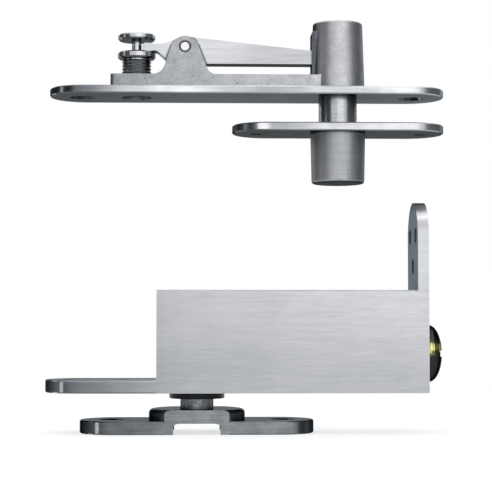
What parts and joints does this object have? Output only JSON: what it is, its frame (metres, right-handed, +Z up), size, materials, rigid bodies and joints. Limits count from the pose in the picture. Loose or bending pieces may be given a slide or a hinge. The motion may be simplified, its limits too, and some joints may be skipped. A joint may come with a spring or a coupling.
{
  "type": "pivot door closer",
  "caption": "Pivot door closer: a sprung, damped floor-standing bottom closer with mounting leg and flange, and a walking-beam top pivot with its door plate and socket.",
  "frame": {"origin": "on the axis of the closer's spindle, at the underside of the floor plate, midway between its two screw holes", "axes": "+X along the closer from the flange to the leg, +Y from the front face to the back one, +Z up along the spindle"},
  "size_m": [0.1834, 0.033, 0.1889],
  "materials": {
    "plate_steel": "satin, brushed edges",
    "spindle_steel": "dark, oiled",
    "hard_steel": "ground",
    "body_steel": "fine brushed satin",
    "black_steel": "black",
    "seal_rubber": "black",
    "bush_bronze": "plain",
    "spring_steel": "oil tempered",
    "brass": "turned, polished",
    "cast_metal": "sand cast, satin plated",
    "socket_metal": "sand cast, satin plated",
    "bright_steel": "bright",
    "lever_steel": "brushed",
    "pin_steel": "ground and polished",
    "screw_steel": "dark polished"
  },
  "bodies": {
    "building_side": {"floor_plate": "plate_steel", "cam_spindle": "spindle_steel", "thrust_ball": "hard_steel", "header_plate": "plate_steel", "header_casting": "cast_metal", "casting_rivets": "plate_steel", "lever_pin": "bright_steel"},
    "closer": {"closer_body": "body_steel", "bottom_cover": "black_steel", "cover_seal": "seal_rubber", "spindle_seal": "seal_rubber", "lower_bush": "bush_bronze", "upper_bush": "bush_bronze", "end_gland": "hard_steel", "gland_seal": "seal_rubber", "regulator_seal": "seal_rubber", "closing_spring": "spring_steel"},
    "piston_group": {"piston": "hard_steel", "piston_ring": "seal_rubber", "roller_pin": "hard_steel", "check_ball": "hard_steel", "check_retainer": "hard_steel"},
    "cam_roller": {"roller": "hard_steel"},
    "regulator_group": {"regulator": "brass", "regulator_clip": "spring_steel"},
    "stud_body": {"adjuster_stud": "screw_steel"},
    "screw_body": {"adjusting_screw": "screw_steel"},
    "beam": {"lever": "lever_steel"},
    "pin_body": {"pivot_pin": "pin_steel"},
    "door_side": {"door_plate": "plate_steel", "door_socket": "socket_metal", "socket_bush": "bush_bronze"}
  },
  "joints": [
    {"name": "closer_swing", "type": "hinge", "parent": "building_side", "child": "closer", "pos_m": [0, 0, 0], "axis": [0, 0, 1], "range_deg": [0, 110], "stiffness_Nm_per_rad": 1},
    {"name": "piston_slide", "type": "slide", "parent": "closer", "child": "piston_group", "axis": [1, 0, 0], "range_m": [0, 0.0066], "deforming": ["closing_spring"]},
    {"name": "roller_spin", "type": "hinge", "parent": "piston_group", "child": "cam_roller", "pos_m": [0.0092, 0, 0.036], "axis": [0, 0, 1], "continuous": true},
    {"name": "regulator_turn", "type": "hinge", "parent": "closer", "child": "regulator_group", "pos_m": [0.1048, 0, 0.036], "axis": [1, 0, 0], "range_deg": [0, 270]},
    {"name": "adjuster_lift", "type": "slide", "parent": "building_side", "child": "stud_body", "axis": [0, 0, -1], "range_m": [-0.00105, 0.00227]},
    {"name": "adjuster_turn", "type": "hinge", "parent": "stud_body", "child": "screw_body", "pos_m": [-0.0281, 0, 0.165], "axis": [0, 0, -1], "range_deg": [-254, 546]},
    {"name": "lever_rock", "type": "hinge", "parent": "building_side", "child": "beam", "pos_m": [-0.0057, 0, 0.1766], "axis": [0, -1, 0], "range_deg": [-3.42, 7.3]},
    {"name": "pin_lift", "type": "slide", "parent": "building_side", "child": "pin_body", "axis": [0, 0, 1], "range_m": [-0.00422, 0.00902]},
    {"name": "door_turn", "type": "hinge", "parent": "building_side", "child": "door_side", "pos_m": [0.0651, 0, 0.139], "axis": [0, 0, 1], "continuous": true}
  ],
  "couplings": [
    {"joint": "piston_slide", "follows": "closer_swing", "m_per_rad": 0.0034377},
    {"joint": "adjuster_turn", "follows": "adjuster_lift", "rad_per_m": 4188.8},
    {"joint": "lever_rock", "follows": "adjuster_lift", "rad_per_m": 55.866},
    {"joint": "pin_lift", "follows": "adjuster_lift", "ratio": 3.9553}
  ]
}
